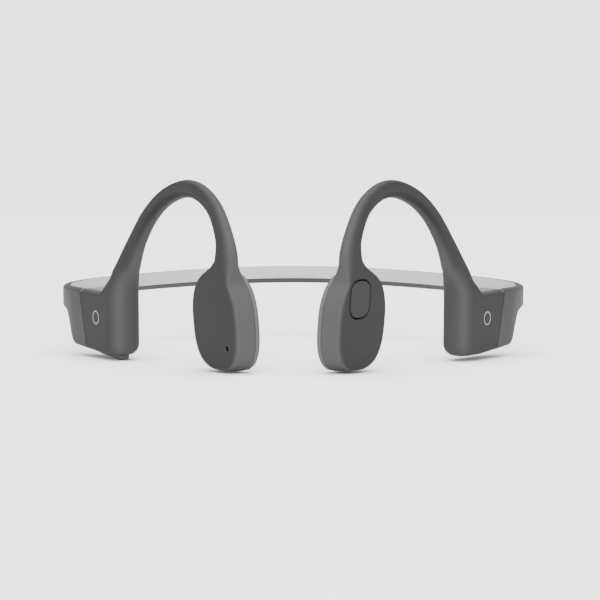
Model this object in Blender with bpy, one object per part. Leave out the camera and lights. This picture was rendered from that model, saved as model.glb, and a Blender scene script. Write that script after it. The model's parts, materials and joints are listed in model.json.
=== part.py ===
"""Open-ear bone conduction headset: two cheek pods, two ear hooks, two housings and a springy neckband.

Lengths are in millimetres until stand() turns them into metres. +X is the wearer's left, -Y the front
and +Z up. The headset is drawn with its slabs level, and stand() tips it forward a little onto the feet
of its pods. The origin is under its middle, on the surface it stands on. The right half is fixed and
the left half turns about the middle of the neckband.
"""

import math

import bmesh
import bpy
import numpy as np
from mathutils import Vector

MM = 0.001
GAP = 0.3               # clearance between pieces that touch
SIDES = {"right": -1, "left": 1}
STAND_TIP = math.radians(2.84)   # forward, onto the feet of the pods
STAND_LIFT = 1.26
MIDDLE_Y = 26.11                # drawing Y of the origin, halfway from pods to neckband

# Pods, drawn for the left side
POD_CENTRE = (16.6, -33.2)
POD_TURN = math.radians(47)     # from facing forward to facing sideways
POD_LEAN = math.radians(6)      # foot of the pod forward
POD_FOOT, POD_TOP = 0.4, 26.0
POD_MIDDLE = (POD_FOOT + POD_TOP) / 2
POD_HALF_WIDTH = 8.98
POD_ROUND = 2.33                # power of the pod's oval outline
POD_SHIFT = -0.42
POD_HALF_DEPTH = 3.4            # shell only, without the pad
FACE_HALF_WIDTH = 8.69          # flat outer face
FACE_FOOT = 1.15                # height at which the outer face starts
FACE_SHIFT = -0.72              # the front wall slopes more than the back one
PAD_DEPTH = 1.7
NECK_Z = 29.0
NECK_SHIFT = (1.86, 0.5)        # the neck stands forward of the pod's middle
NECK_RADIUS = 3.0
ROOT_Z = 21.7                   # where the hook meets the housing
ROOT_RADIUS = 3.8
ROOT_MIDDLE = (2.1, -4.85)      # in band axes

# Hook: x, y, z and radius of its middle line, from inside the pod, through the neck, to inside the housing
HOOK_LINE = [
    (17.2, -32.6, 21.6, 3.0), (16.45, -33.9, 25.8, 3.0),
    (15.7, -34.9, NECK_Z, NECK_RADIUS), (16.2, -34.15, 34.5, 2.4), (18.7, -31.1, 41.5, 2.15),
    (22.8, -26.1, 45.7, 2.25),
    (27.3, -20.5, 46.5, 2.35), (32.7, -14.3, 44.0, 2.35), (37.5, -8.85, 39.0, 2.35), (41.55, -4.7, 31.7, 2.55),
    (44.35, -2.1, 24.6, 3.35), (45.2, -1.35, ROOT_Z, ROOT_RADIUS), (45.8, -0.75, 17.5, ROOT_RADIUS),
    (47.9, 2.5, 13.2, ROOT_RADIUS),
]
NECK_POINT, ROOT_POINT = 2, 11  # places in that list where the hook starts and ends
WIRE_RADIUS = 0.55
BORE_RADIUS = 0.9

# Housing: a slab that starts behind the cheek and runs out and back
SLAB_START = (48.1, -5.8)       # front end of the outer face, in plan
SLAB_TURN = math.radians(33.8)  # from straight back
SLAB_LENGTH = 23.7              # straight stretch of the outer face
SLAB_DEPTH = 9.5
RIM_Z = 17.2
ROOT_LENGTH = 6.5
CROTCH_RADIUS = 2.4
FRONT_RADIUS = 4.3
EDGE_RADIUS = 1.0
FOOT_RISE = 0.045               # the underside climbs towards the back
FOOT_Z = {"right": -0.1, "left": -0.1}
SEAM_TOP, SEAM_LEAN = 21.3, 0.26
WALL = 1.5
COVER_DEPTH = 1.1
ROOM_START, ROOM_TOP = 5.4, 15.2        # front and ceiling of the room inside

# Neckband
BEND_RADIUS = 37.0
BACK_LENGTH = 60.0              # from the widest place to the back
BACK_ROUND = 1.04               # 1 is an ellipse, more is a little flatter at the sides
BAND_DIP = 0.7                  # how far the band hangs between its ends and its back
BAND_DEPTH = 2.9
BAND_TOP, BAND_FOOT, RIDGE_Z = 16.75, 11.3, 12.95
END_LENGTH = 52.0               # from the slab's front to the joint of moulding and band
FOOT_CLIMB = [(24.0, 1.0), (25.8, 2.1), (26.8, 3.8), (27.6, 5.7), (29.4, 8.5), (32.0, 10.1), (37.0, 10.75),
              (45.0, 11.1), (END_LENGTH, BAND_FOOT)]    # underside of the moulding: place and height
SPRING_WIRE_Z, CABLE_Z = 15.2, 13.7
LEAD_RADIUS = 0.4               # of both


def smooth(low, high, value):
    """0 below low, 1 above high and an S-curve between them."""
    t = min(max((value - low) / (high - low), 0.0), 1.0)
    return t * t * (3 - 2 * t)


def mix(first, second, t):
    return first + (second - first) * t


class Line:
    """A smooth curve through points, read by its length. Points may carry a radius as a fourth value."""

    def __init__(self, points, steps=12):
        self.steps = steps
        p = np.array(points, float)
        p = np.vstack([2 * p[0] - p[1], p, 2 * p[-1] - p[-2]])
        t = np.linspace(0, 1, steps, endpoint=False)[:, None]
        spans = []
        for a, b, c, d in zip(p[:-3], p[1:-2], p[2:-1], p[3:]):
            cubic = 2 * b + (c - a) * t + (2 * a - 5 * b + 4 * c - d) * t**2 + (3 * b - a - 3 * c + d) * t**3
            spans.append(cubic / 2)
        self.points = np.vstack(spans + [p[-2:-1]])
        lengths = np.linalg.norm(np.diff(self.points[:, :3], axis=0), axis=1)
        self.reach = np.concatenate([[0], np.cumsum(lengths)])
        self.length = self.reach[-1]

    def at(self, distance):
        return np.array([np.interp(distance, self.reach, column) for column in self.points.T])

    def reach_of(self, point):
        """Length from the start to a numbered point."""
        return self.reach[point * self.steps]

    def heading(self, distance):
        low, high = max(distance - 0.4, 0), min(distance + 0.4, self.length)
        step = (self.at(high) - self.at(low))[:3]
        return step / np.linalg.norm(step)


def band_outline():
    """Plan of the outer surface: the slab, a bend and half an ellipse's quarter to the middle of the back."""
    x, y = SLAB_START
    side, back = math.sin(SLAB_TURN), math.cos(SLAB_TURN)
    points = [(x + side * s, y + back * s, 0) for s in np.linspace(0, SLAB_LENGTH, 9)]
    x, y, _ = points[-1]
    for turn in np.linspace(0, SLAB_TURN, 9)[1:]:
        left = SLAB_TURN - turn
        points.append((x + BEND_RADIUS * (math.cos(left) - back), y + BEND_RADIUS * (side - math.sin(left)), 0))
    x, y, _ = points[-1]
    for angle in np.linspace(0, math.pi / 2, 33)[1:]:
        points.append((x * math.cos(angle) ** BACK_ROUND, y + BACK_LENGTH * math.sin(angle) ** BACK_ROUND, 0))
    return Line(points, steps=4)


BAND = band_outline()
HINGE = (0.0, BAND.points[-1][1], (BAND_TOP + BAND_FOOT) / 2)


def in_pod(a, b, z):
    """Pod axes: a from the arch towards the cheekbone, b outwards, z up."""
    a += (POD_MIDDLE - z) * math.tan(POD_LEAN)
    turn_a, turn_b = math.cos(POD_TURN), math.sin(POD_TURN)
    return (POD_CENTRE[0] - turn_a * a + turn_b * b, POD_CENTRE[1] - turn_b * a - turn_a * b, z)


def on_band(s, r, z):
    """Band axes: s along the outer surface from the slab's front, r outwards from it, z up."""
    x, y, _ = BAND.at(s)
    if s < 0:
        x, y = x + s * math.sin(SLAB_TURN), y + s * math.cos(SLAB_TURN)
    if s > BAND.length:
        x -= s - BAND.length
    dx, dy, _ = BAND.heading(min(max(s, 0.4), BAND.length))
    return (x + dy * r, y - dx * r, z)


def end_depth(s):
    """Depth of the moulding, from the slab's to the band's."""
    return mix(SLAB_DEPTH, BAND_DEPTH, smooth(SLAB_LENGTH - 1, END_LENGTH - 8, s))


def dip(s):
    """How far the band hangs below a level line, from the slab to the back."""
    return BAND_DIP * math.sin(math.pi * min(max((s - 26) / (BAND.length - 26), 0), 1)) ** 2


def foot_z(side, s):
    """Height of the underside: nearly level under the slab, then up to the band."""
    slab_foot = FOOT_Z[side] + FOOT_RISE * s
    climb = np.interp(s, [place for place, _ in FOOT_CLIMB], [height for _, height in FOOT_CLIMB])
    return mix(slab_foot, climb, smooth(20.0, 28.0, s))


def seam_s(z):
    """Where the housing ends and the moulding starts, at height z."""
    return SEAM_TOP - SEAM_LEAN * (RIM_Z - z)


# Pieces of mesh

def material(name, colour, roughness, metallic=0.0):
    made = bpy.data.materials.get(name) or bpy.data.materials.new(name)
    made.use_nodes = True
    shader = made.node_tree.nodes["Principled BSDF"]
    shader.inputs["Base Color"].default_value = (*colour, 1)
    shader.inputs["Roughness"].default_value = roughness
    shader.inputs["Metallic"].default_value = metallic
    return made


def dark_silicone():
    return material("dark_silicone", (0.105, 0.105, 0.107), 0.55)


def light_silicone():
    return material("light_silicone", (0.30, 0.30, 0.31), 0.5)


def dark_plastic():
    return material("dark_plastic", (0.09, 0.09, 0.092), 0.42)


def black_plastic():
    return material("black_plastic", (0.02, 0.02, 0.02), 0.5)


def steel():
    return material("steel", (0.55, 0.56, 0.57), 0.35, 1.0)


def magnet_metal():
    return material("magnet", (0.62, 0.61, 0.6), 0.25, 1.0)


def copper():
    return material("copper", (0.72, 0.35, 0.18), 0.35, 1.0)


def gold():
    return material("gold", (0.83, 0.62, 0.3), 0.3, 1.0)


def titanium():
    return material("titanium", (0.5, 0.48, 0.46), 0.4, 1.0)


def green_board():
    return material("circuit_board", (0.02, 0.1, 0.05), 0.45)


def foil():
    return material("battery_foil", (0.72, 0.73, 0.75), 0.35, 0.6)


def stand(x, y, z):
    """Drawing millimetres to metres, with the headset tipped forward onto its feet."""
    c, s = math.cos(STAND_TIP), math.sin(STAND_TIP)
    return Vector((x, y * c - z * s - MIDDLE_Y, y * s + z * c + STAND_LIFT)) * MM


def mesh(name, points, faces, finish, origin=None, side=1):
    """An object from points in drawing millimetres, mirrored in X for the right side."""
    base = stand(side * origin[0], origin[1], origin[2]) if origin else Vector()
    bm = bmesh.new()
    verts = [bm.verts.new(stand(side * x, y, z) - base) for x, y, z in points]
    for face in faces:
        bm.faces.new([verts[i] for i in face])
    bmesh.ops.recalc_face_normals(bm, faces=bm.faces)
    data = bpy.data.meshes.new(name)
    bm.to_mesh(data)
    bm.free()
    data.shade_smooth()
    data.set_sharp_from_angle(angle=math.radians(35))
    made = bpy.data.objects.new(name, data)
    made.location = base
    made.data.materials.append(finish)
    bpy.context.collection.objects.link(made)
    return made


def loft(name, rings, finish, inner=None, **place):
    """One closed body through rings of points; inner rings of the same count make it a tube."""
    count, layers = len(rings[0]), len(rings)
    points = [p for ring in rings for p in ring]
    faces = []
    for layer in range(layers - 1):
        for i in range(count):
            j, up = (i + 1) % count, layer + 1
            faces.append((layer * count + i, layer * count + j, up * count + j, up * count + i))
    if inner is None:
        faces += [tuple(range(count)), tuple(range((layers - 1) * count, layers * count))]
        return mesh(name, points, faces, finish, **place)
    start = len(points)
    points += [p for ring in inner for p in ring]
    for layer in range(layers - 1):
        for i in range(count):
            j, up = (i + 1) % count, layer + 1
            wall = (layer * count + i, up * count + i, up * count + j, layer * count + j)
            faces.append(tuple(start + k for k in wall))
    for layer in (0, layers - 1):
        for i in range(count):
            a, b = layer * count + i, layer * count + (i + 1) % count
            faces.append((a, b, start + b, start + a))
    return mesh(name, points, faces, finish, **place)


def slab(name, at, outline, low, high, finish, top=None, inner=None, **place):
    """An outline carried from height low to height high; at() puts (p, q, height) in the drawing."""
    rings = [[at(p, q, low) for p, q in outline], [at(p, q, high) for p, q in (top or outline)]]
    holes = inner and [[at(p, q, h) for p, q in inner] for h in (low, high)]
    return loft(name, rings, finish, inner=holes, **place)


def cut(target, *cutters):
    """Takes the cutters' shapes away from the target."""
    for cutter in cutters:
        cutter.hide_render = True
        cutter.display_type = "WIRE"
        boolean = target.modifiers.new(cutter.name, "BOOLEAN")
        boolean.operation = "DIFFERENCE"
        boolean.solver = "EXACT"
        boolean.object = cutter
    return target


# Outlines in two dimensions

def oval(half_p, half_q, centre=(0, 0), power=2.6, count=20, start=0.0):
    """A superellipse: power 2 is an ellipse and a higher power is squarer."""
    points = []
    for angle in start + np.linspace(0, 2 * math.pi, count, endpoint=False):
        c, s = math.cos(angle), math.sin(angle)
        grow = (abs(c) ** power + abs(s) ** power) ** (-1 / power)
        points.append((centre[0] + half_p * c * grow, centre[1] + half_q * s * grow))
    return points


def rounded(corners, radii, arc=3):
    """The points round a convex outline with its corners rounded; arc is the steps of each corner."""
    outline = []
    c = [np.array(corner, float) for corner in corners]
    for i, radius in enumerate(radii):
        before, here, after = c[i - 1], c[i], c[(i + 1) % len(c)]
        back, on = before - here, after - here
        room = 0.495 * min(np.linalg.norm(back), np.linalg.norm(on))
        back, on = back / np.linalg.norm(back), on / np.linalg.norm(on)
        half = math.acos(max(-1, min(1, float(back @ on)))) / 2
        reach = min(radius / math.tan(half), room)
        radius = reach * math.tan(half)
        middle = here + (back + on) / np.linalg.norm(back + on) * radius / math.sin(half)
        first, last = here + back * reach - middle, here + on * reach - middle
        angle = math.pi - 2 * half
        for t in np.linspace(0, 1, arc + 1):
            mixed = (first * math.sin((1 - t) * angle) + last * math.sin(t * angle)) / math.sin(angle)
            outline.append(tuple(middle + mixed))
    return outline


def box(p0, q0, p1, q1, radius, arc=3):
    return rounded([(p1, q1), (p0, q1), (p0, q0), (p1, q0)], [radius] * 4, arc)


# Arms: pod, hook and housing

def pod_lean(z):
    return (POD_MIDDLE - z) * math.tan(POD_LEAN)


def pod_ring(z):
    """Section of a pod shell at height z, from its foot to its neck."""
    face_middle, half = (POD_TOP + FACE_FOOT) / 2, (POD_TOP - POD_FOOT) / 2
    round_off = max(1 - abs((z - POD_MIDDLE) / half) ** POD_ROUND, 0.0002) ** (1 / POD_ROUND)
    face_off = max(1 - abs((z - face_middle) / (POD_TOP - face_middle)) ** POD_ROUND, 0.02) ** (1 / POD_ROUND)
    neck = smooth(22.5, NECK_Z, z)
    inner = mix(max(POD_HALF_WIDTH * round_off, NECK_RADIUS * neck), NECK_RADIUS, neck)
    outer = min(mix(FACE_HALF_WIDTH * face_off, NECK_RADIUS, neck), inner)
    depth = front = mix(POD_HALF_DEPTH, NECK_RADIUS, neck)
    if z < FACE_FOOT:
        share = (z - POD_FOOT) / (FACE_FOOT - POD_FOOT)
        front = -depth + 2 * depth * (0.35 + 0.6 * share)
        outer = inner * (0.5 + 0.2 * share)
    shift = [mix(POD_SHIFT * round_off, 0, neck), mix(FACE_SHIFT * round_off, 0, neck)]
    corners = [(shift[1] + outer, front), (shift[1] - outer, front), (shift[0] - inner, -depth),
               (shift[0] + inner, -depth)]
    radii = [mix(radius, NECK_RADIUS, neck) for radius in (1.0, 2.2, 0.9, 0.9)]
    neck_a, neck_b = mix(0, NECK_SHIFT[0] - pod_lean(z), neck), mix(0, NECK_SHIFT[1], neck)
    return [in_pod(a + neck_a, b + neck_b, z) for a, b in rounded(corners, radii)]


POD_LEVELS = (POD_FOOT, 0.55, 0.8, FACE_FOOT, 1.9, 3.2, 5.6, 9.0, 14.0, 18.4, 21.0, 22.8, 24.2, 25.4, 27.0,
              NECK_Z - GAP / 2)
HOOK = Line(HOOK_LINE)
HOOK_START, HOOK_END = HOOK.reach_of(NECK_POINT), HOOK.reach_of(ROOT_POINT)
ARCH = np.array([math.sin(POD_TURN), -math.cos(POD_TURN), 0.0])  # square to the plane of the arch


def unit(vector):
    return vector / np.linalg.norm(vector)


def hook_ring(distance, radius, count=12):
    """A round section square to the hook's line, turned level where the hook meets its neighbours."""
    along = HOOK.heading(distance)
    level = 1 - smooth(HOOK_START, HOOK_START + 5, distance) + smooth(HOOK_END - 5, HOOK_END, distance)
    along = unit(mix(along, np.array([0, 0, math.copysign(1, along[2])]), level))
    across = unit(np.cross(ARCH, along))
    beside = np.cross(along, across)
    turns = np.linspace(0, 2 * math.pi, count, endpoint=False)
    middle = HOOK.at(distance)[:3]
    return [tuple(middle + radius * (math.cos(t) * across + math.sin(t) * beside)) for t in turns]


def hook_part(name, start, end, layers, radius, finish, count=12, bore=None, side=1):
    """A round rod or, with a bore, a tube along the hook's line."""
    places = np.linspace(start, end, layers)
    outer = [hook_ring(d, radius or HOOK.at(d)[3], count) for d in places]
    inner = bore and [hook_ring(d, bore, count) for d in places]
    return loft(name, outer, finish, inner=inner, side=side)


def housing_ring(side, level):
    """Section of a housing: level 0 is the foot, RIM_Z the rim and above it the root of the hook."""
    foot = FOOT_Z[side]
    if level <= RIM_Z:
        seam = seam_s(level)
        low = max(EDGE_RADIUS - (level - foot), 0) / EDGE_RADIUS
        high = max(level - (RIM_Z - EDGE_RADIUS), 0) / EDGE_RADIUS
        tuck = EDGE_RADIUS * (1 - math.sqrt(max(1 - low * low, 0)))
        rim = EDGE_RADIUS * (1 - math.sqrt(max(1 - high * high, 0)))
        corners = [(seam, -tuck - rim), (seam, -SLAB_DEPTH + tuck + rim), (tuck, -SLAB_DEPTH + tuck), (tuck, -tuck)]
        radii = (0.3, 0.3, FRONT_RADIUS, FRONT_RADIUS)
        climb = FOOT_RISE * (1 - (level - foot) / (RIM_Z - foot))
        return [on_band(s, r, level + climb * s) for s, r in rounded(corners, radii)]
    up = min((level - RIM_Z) / CROTCH_RADIUS, 1)
    fillet = CROTCH_RADIUS * (1 - math.sqrt(1 - (1 - up) ** 2))
    t = smooth(RIM_Z - 2, ROOT_Z, level)
    back = ROOT_LENGTH + fillet
    low = [(back, 0), (back, -SLAB_DEPTH), (0, -SLAB_DEPTH), (0, 0)]
    s, r = ROOT_MIDDLE
    high = [(s + ROOT_RADIUS * i, r + ROOT_RADIUS * j) for i, j in ((1, 1), (1, -1), (-1, -1), (-1, 1))]
    corners = [(mix(a[0], b[0], t), mix(a[1], b[1], t)) for a, b in zip(low, high)]
    radii = [mix(radius, ROOT_RADIUS, t) for radius in (2.4, 2.4, FRONT_RADIUS, FRONT_RADIUS)]
    return [on_band(s, r, level) for s, r in rounded(corners, radii)]


def flat(p, q, r):
    """Band axes for an outline seen from the side: along, up, then depth."""
    return on_band(p, r, q)


def from_below():
    """Band axes for an outline seen from below, on planes parallel to the sloping foot."""
    return lambda s, r, h: on_band(s, r, h + FOOT_RISE * s)


def on_pod(p, q, b):
    """Pod axes for an outline seen face on: along the face, up, then depth."""
    return in_pod(p, b, q)


def leaning_box(low_s, low_z, back, high_z, radius):
    """Side view outline whose back edge keeps the distance "back" from the seam."""
    corners = [(seam_s(high_z) - back, high_z), (low_s, high_z), (low_s, low_z), (seam_s(low_z) - back, low_z)]
    return rounded(corners, [radius] * 4, 2)


def pod_shell(side, sign):
    """Cup of the pod, open towards the head, with its neck bored for the leads."""
    shell = loft(f"{side}_pod_shell", [pod_ring(z) for z in POD_LEVELS], dark_silicone(), side=sign)
    middle = (-0.6, POD_MIDDLE - 0.4)
    room = slab(f"cutter_{side}_pod_room", on_pod, oval(7.4, 10.6, middle), -6, POD_HALF_DEPTH - 1.3,
                dark_plastic(), top=oval(7.0, 10.2, middle), side=sign)
    bore = hook_part(f"cutter_{side}_neck_bore", 1.0, HOOK_START + 1, 5, BORE_RADIUS, dark_plastic(), side=sign)
    cutters = [room, bore]
    if side == "left":
        cutters.append(slab("cutter_button_window", on_pod, button_outline(GAP), BUTTON_BACK - 0.6, 6,
                            dark_plastic(), side=sign))
    else:
        cutters.append(slab("cutter_sound_hole", on_pod, oval(0.4, 0.65, MICROPHONE, 2, 8), 1, 6,
                            dark_plastic(), side=sign))
    return cut(shell, *cutters)


def pod_pad(side, sign):
    """Contact pad that carries the vibration to the cheekbone."""
    middle = (POD_SHIFT, POD_MIDDLE)
    back = -POD_HALF_DEPTH - GAP
    steps = [(back, 0.4, 0.5), (back - PAD_DEPTH + 0.8, 0.4, 0.5), (back - PAD_DEPTH + 0.25, 0.8, 0.9),
             (back - PAD_DEPTH, 1.5, 1.6)]
    rings = []
    for b, less_a, less_z in steps:
        outline = oval(POD_HALF_WIDTH - less_a, (POD_TOP - POD_FOOT) / 2 - less_z, middle, POD_ROUND)
        rings.append([on_pod(p, q, b) for p, q in outline])
    return loft(f"{side}_pod_pad", rings, light_silicone(), side=sign)


TRANSDUCER = (-0.6, 12.3)       # middle, in pod axes
YOKE_BACK, YOKE_FRONT = 0.5, -2.0


def transducer(side, sign):
    """Voice coil motor: steel cup, magnet, coil in the gap and the plate spring that carries the pad."""
    def part(name, outline, low, high, finish, **more):
        return slab(f"{side}_{name}", on_pod, outline, low, high, finish, side=sign, **more)

    yoke = part("transducer_yoke", oval(5.1, 5.5, TRANSDUCER, 3), YOKE_FRONT, YOKE_BACK, steel())
    well = part("cutter_yoke_well", oval(4.4, 4.8, TRANSDUCER, 3), YOKE_FRONT - 1, YOKE_BACK - 0.8, steel())
    magnet = part("transducer_magnet", oval(2.8, 3.2, TRANSDUCER, 3, 16), -1.8, -0.6, magnet_metal())
    coil = part("voice_coil", oval(4.0, 4.4, TRANSDUCER, 3, 16), -2.6, -0.7, copper(),
                inner=oval(3.2, 3.6, TRANSDUCER, 3, 16))
    spring = part("transducer_spring", box(-5.9, 5.5, 4.7, 19.1, 2.0), -3.2, -2.9, steel())
    slots = [part(f"cutter_spring_slot_{i}", box(-4.5, z - 0.5, 3.3, z + 0.5, 0.4, 2), -4, -2, steel())
             for i, z in enumerate((8.1, 16.5))]
    return [cut(yoke, well), magnet, coil, cut(spring, *slots)]


def housing_shell(side, sign):
    foot = FOOT_Z[side]
    levels = [foot, foot + 0.3, foot + EDGE_RADIUS, 8.6, RIM_Z - EDGE_RADIUS, RIM_Z - 0.4, RIM_Z,
              RIM_Z + 0.02, RIM_Z + 0.5, RIM_Z + 1.2, RIM_Z + CROTCH_RADIUS, ROOT_Z - GAP / 2]
    shell = loft(f"{side}_housing_shell", [housing_ring(side, z) for z in levels], dark_silicone(), side=sign)
    room = slab(f"cutter_{side}_room", flat, leaning_box(ROOM_START, foot + 2.6, 1.7, ROOM_TOP, 1.0),
                -SLAB_DEPTH - 2, -WALL, dark_plastic(), side=sign)
    rebate = slab(f"cutter_{side}_rebate", flat, leaning_box(ROOM_START - 1.2, foot + 1.6, 0.7, 16.3, 1.0),
                  -SLAB_DEPTH - 2, -SLAB_DEPTH + COVER_DEPTH + GAP, dark_plastic(), side=sign)
    bore = hook_part(f"cutter_{side}_root_bore", HOOK_END - 1, HOOK.length, 6, BORE_RADIUS, dark_plastic(),
                     side=sign)
    exit_middle = (-SLAB_DEPTH / 2, CABLE_Z)
    rings = [[on_band(s, r, z) for r, z in oval(0.8, 0.8, exit_middle, 2, 8)] for s in (16.5, 22.5)]
    cable_exit = loft(f"cutter_{side}_cable_exit", rings, dark_plastic(), side=sign)
    cutters = [room, rebate, bore, cable_exit]
    if side == "right":
        cutters += volume_cutters(sign)
    return cut(shell, *cutters)


def housing_cover(side, sign):
    """Plate on the side towards the neck."""
    outline = leaning_box(ROOM_START - 1.2 + GAP, FOOT_Z[side] + 1.6 + GAP, 0.7 + GAP, 16.3 - GAP, 0.8)
    cover = slab(f"{side}_housing_cover", flat, outline, -SLAB_DEPTH, -SLAB_DEPTH + COVER_DEPTH,
                 light_silicone(), side=sign)
    if side == "left":
        return cover
    socket = slab("cutter_port_window", flat, port_outline(GAP), -SLAB_DEPTH - 2, -SLAB_DEPTH + 2,
                  dark_plastic(), side=sign)
    light = slab("cutter_light_window", flat, oval(0.7 + GAP, 0.7 + GAP, LIGHT, 2, 12), -SLAB_DEPTH - 2,
                 -SLAB_DEPTH + 2, dark_plastic(), side=sign)
    return cut(cover, socket, light)


# Neckband

def band_ring(side, s):
    """Section of the neckband: the slab's rectangle at the seam, a ridged ribbon round the neck."""
    t = smooth(SEAM_TOP, END_LENGTH - 6, s)
    lean = SEAM_LEAN * (1 - smooth(SEAM_TOP, SEAM_TOP + 12, s))
    top, depth = mix(RIM_Z, BAND_TOP, t) - dip(s), end_depth(s)
    foot = foot_z(side, s - lean * (RIM_Z - FOOT_Z[side])) - dip(s)
    ridge = mix(9.0, RIDGE_Z - dip(s), t)
    corners = [(0, top), (-depth + 0.6 * t, top), (-depth, ridge), (-depth + 1.9 * t, foot), (0, foot)]
    radii = [mix(0.9, 0.4, t), mix(0.9, 0.4, t), 0.15, mix(0.9, 0.2, t), mix(0.9, 0.2, t)]
    return [on_band(s - lean * (RIM_Z - z), r, z) for r, z in rounded(corners, radii, 2)]


def lead_slot(s):
    """Section of the slot through the band, round the spring wire and the cable."""
    r = -end_depth(s) / 2
    lean = SEAM_LEAN * (1 - smooth(SEAM_TOP, SEAM_TOP + 12, s))
    outline = oval(0.75, 1.55, (r, (SPRING_WIRE_Z + CABLE_Z) / 2 - dip(s)), 3, 15, math.pi / 3)
    return [on_band(s - lean * (RIM_Z - z), r, z) for r, z in outline]


def band_part(name, side, sign, places):
    outer = [band_ring(side, s) for s in places]
    return loft(name, outer, light_silicone(), inner=[lead_slot(s) for s in places], side=sign)


def neckband_end(side, sign):
    """Moulding that carries the housing's shape over to the thin band."""
    places = [SEAM_TOP + GAP, 23.0, 24.5, 26.0, 27.3, 28.6, 30.0, 32.0, 35.0, 39.0, 44.0, 48.0,
              END_LENGTH - GAP / 2]
    return band_part(f"{side}_neckband_end", side, sign, places)


def neckband_sleeve(side, sign):
    """Soft skin of one half of the band; the two halves meet behind the neck."""
    places = np.linspace(END_LENGTH + GAP / 2, BAND.length - GAP / 2, 15)
    return band_part(f"{side}_neckband_sleeve", side, sign, places)


def band_lead(name, z, start, finish):
    """A wire round the back of the neck from one side to the other, inside the band."""
    places = np.concatenate([np.linspace(start, END_LENGTH, 7), np.linspace(END_LENGTH, BAND.length, 13)[1:]])
    half = []
    for s in places:
        middle = (-end_depth(s) / 2, z - dip(s))
        half.append([on_band(s, r, h) for r, h in oval(LEAD_RADIUS, LEAD_RADIUS, middle, 2, 6)])
    mirrored = [[(-x, y, h) for x, y, h in ring] for ring in half]
    return loft(name, mirrored[:-1] + half[::-1], finish)


# Right housing: electronics, volume buttons and charging port

PORT = (10.2, 9.4)              # middle of the charging port, in band axes s and z
LIGHT = (10.2, 13.6)
VOLUME_START, VOLUME_END, VOLUME_HALF_WIDTH = 2.3, 15.9, 1.75
VOLUME_R = -SLAB_DEPTH / 2
VOLUME_BUTTONS = {"volume_up": (3.2, 8.7, 7.1), "volume_down": (9.7, 14.8, 11.9)}     # start, end, stem
VOLUME_FOOT = -1.3              # underside of the strip at the front
KEY_TRAVEL = 0.3


def port_outline(more=0.0):
    s, z = PORT
    return box(s - 4.2 - more, z - 1.9 - more, s + 4.2 + more, z + 1.9 + more, 1.2 + more)


def strip_outline(start, end, half_width, more=0.0):
    return box(start - more, VOLUME_R - half_width - more, end + more, VOLUME_R + half_width + more, 9)


def volume_cutters(sign):
    below = from_below()
    outline = strip_outline(VOLUME_START, VOLUME_END, VOLUME_HALF_WIDTH, GAP)
    pocket = slab("cutter_volume_pocket", below, outline, -3, 2.2, dark_plastic(), side=sign)
    stems = slab("cutter_volume_stems", below, box(5.8, VOLUME_R - 1.2, 13.2, VOLUME_R + 1.2, 0.8), 1, 3.6,
                 dark_plastic(), side=sign)
    return [pocket, stems]


def volume_bezel(sign):
    below = from_below()
    outline = strip_outline(VOLUME_START, VOLUME_END, VOLUME_HALF_WIDTH)
    bezel = slab("volume_button_bezel", below, outline, VOLUME_FOOT, 1.9, dark_plastic(), side=sign)
    windows = []
    for name, (start, end, _) in VOLUME_BUTTONS.items():
        outline = strip_outline(start, end, 0.95, GAP)
        windows.append(slab(f"cutter_{name}_window", below, outline, -2, 3, dark_plastic(), side=sign))
    return cut(bezel, *windows)


def volume_button(name, sign):
    """A key whose stem reaches up to its switch."""
    start, end, stem = VOLUME_BUTTONS[name]
    below = from_below()
    key, post = strip_outline(start, end, 0.95), strip_outline(stem - 0.9, stem + 0.9, 0.7)
    stages = [(key, VOLUME_FOOT + 0.12), (key, 1.8), (post, 1.8), (post, 2.9)]
    rings = [[below(p, q, h) for p, q in outline] for outline, h in stages]
    origin = below((start + end) / 2, VOLUME_R, 0)
    return loft(f"{name}_button", rings, dark_plastic(), side=sign, origin=origin)


def volume_switch(name, sign):
    stem = VOLUME_BUTTONS[name][2]
    outline = box(stem - 1.1, VOLUME_R - 1.1, stem + 1.1, VOLUME_R + 1.1, 0.3, 1)
    return slab(f"{name}_switch", from_below(), outline, 2.9 + KEY_TRAVEL + 0.1, 4.1, black_plastic(), side=sign)


def electronics(sign):
    """Board, radio, charging port with its contacts and magnets, and the status light."""
    def part(name, outline, low, high, finish, **more):
        return slab(name, flat, outline, low, high, finish, side=sign, **more)

    board = part("main_circuit_board", box(6.0, 5.4, 15.6, 14.6, 0.6, 2), -3.4, -2.6, green_board())
    radio = part("bluetooth_module", box(7.6, 6.6, 13.4, 12.4, 0.4, 2), -5.0, -3.7, steel())
    port = part("charging_port", port_outline(), -SLAB_DEPTH, -7.2, black_plastic())
    pieces = [board, radio]
    holes = []
    for number, shift in ((1, -1.2), (2, 1.2)):
        middle = (PORT[0] + shift, PORT[1])
        around, stud = oval(0.9, 0.9, middle, 2, 10), oval(0.6, 0.6, middle, 2, 10)
        holes.append(part(f"cutter_contact_hole_{number}", around, -12, -5, black_plastic()))
        pieces.append(part(f"charging_contact_{number}", stud, -SLAB_DEPTH + 0.1, -6.4, gold()))
    for number, shift in ((1, -3.2), (2, 3.2)):
        s = PORT[0] + shift
        block = box(s - 0.9, PORT[1] - 1.3, s + 0.9, PORT[1] + 1.3, 0.3, 1)
        pieces.append(part(f"charging_magnet_{number}", block, -6.9, -5.5, magnet_metal()))
    light = part("status_light", oval(0.7, 0.7, LIGHT, 2, 12), -SLAB_DEPTH, -7.6,
                 material("light_guide", (0.8, 0.8, 0.78), 0.2))
    return pieces + [cut(port, *holes), light]


MICROPHONE = (4.5, 7.0)         # middle, in pod axes


def microphone(sign):
    return slab("microphone", on_pod, oval(1.1, 1.1, MICROPHONE, 2, 12), 0.8, 1.7, steel(), side=sign)


# Left side: battery and the multifunction button

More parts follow.
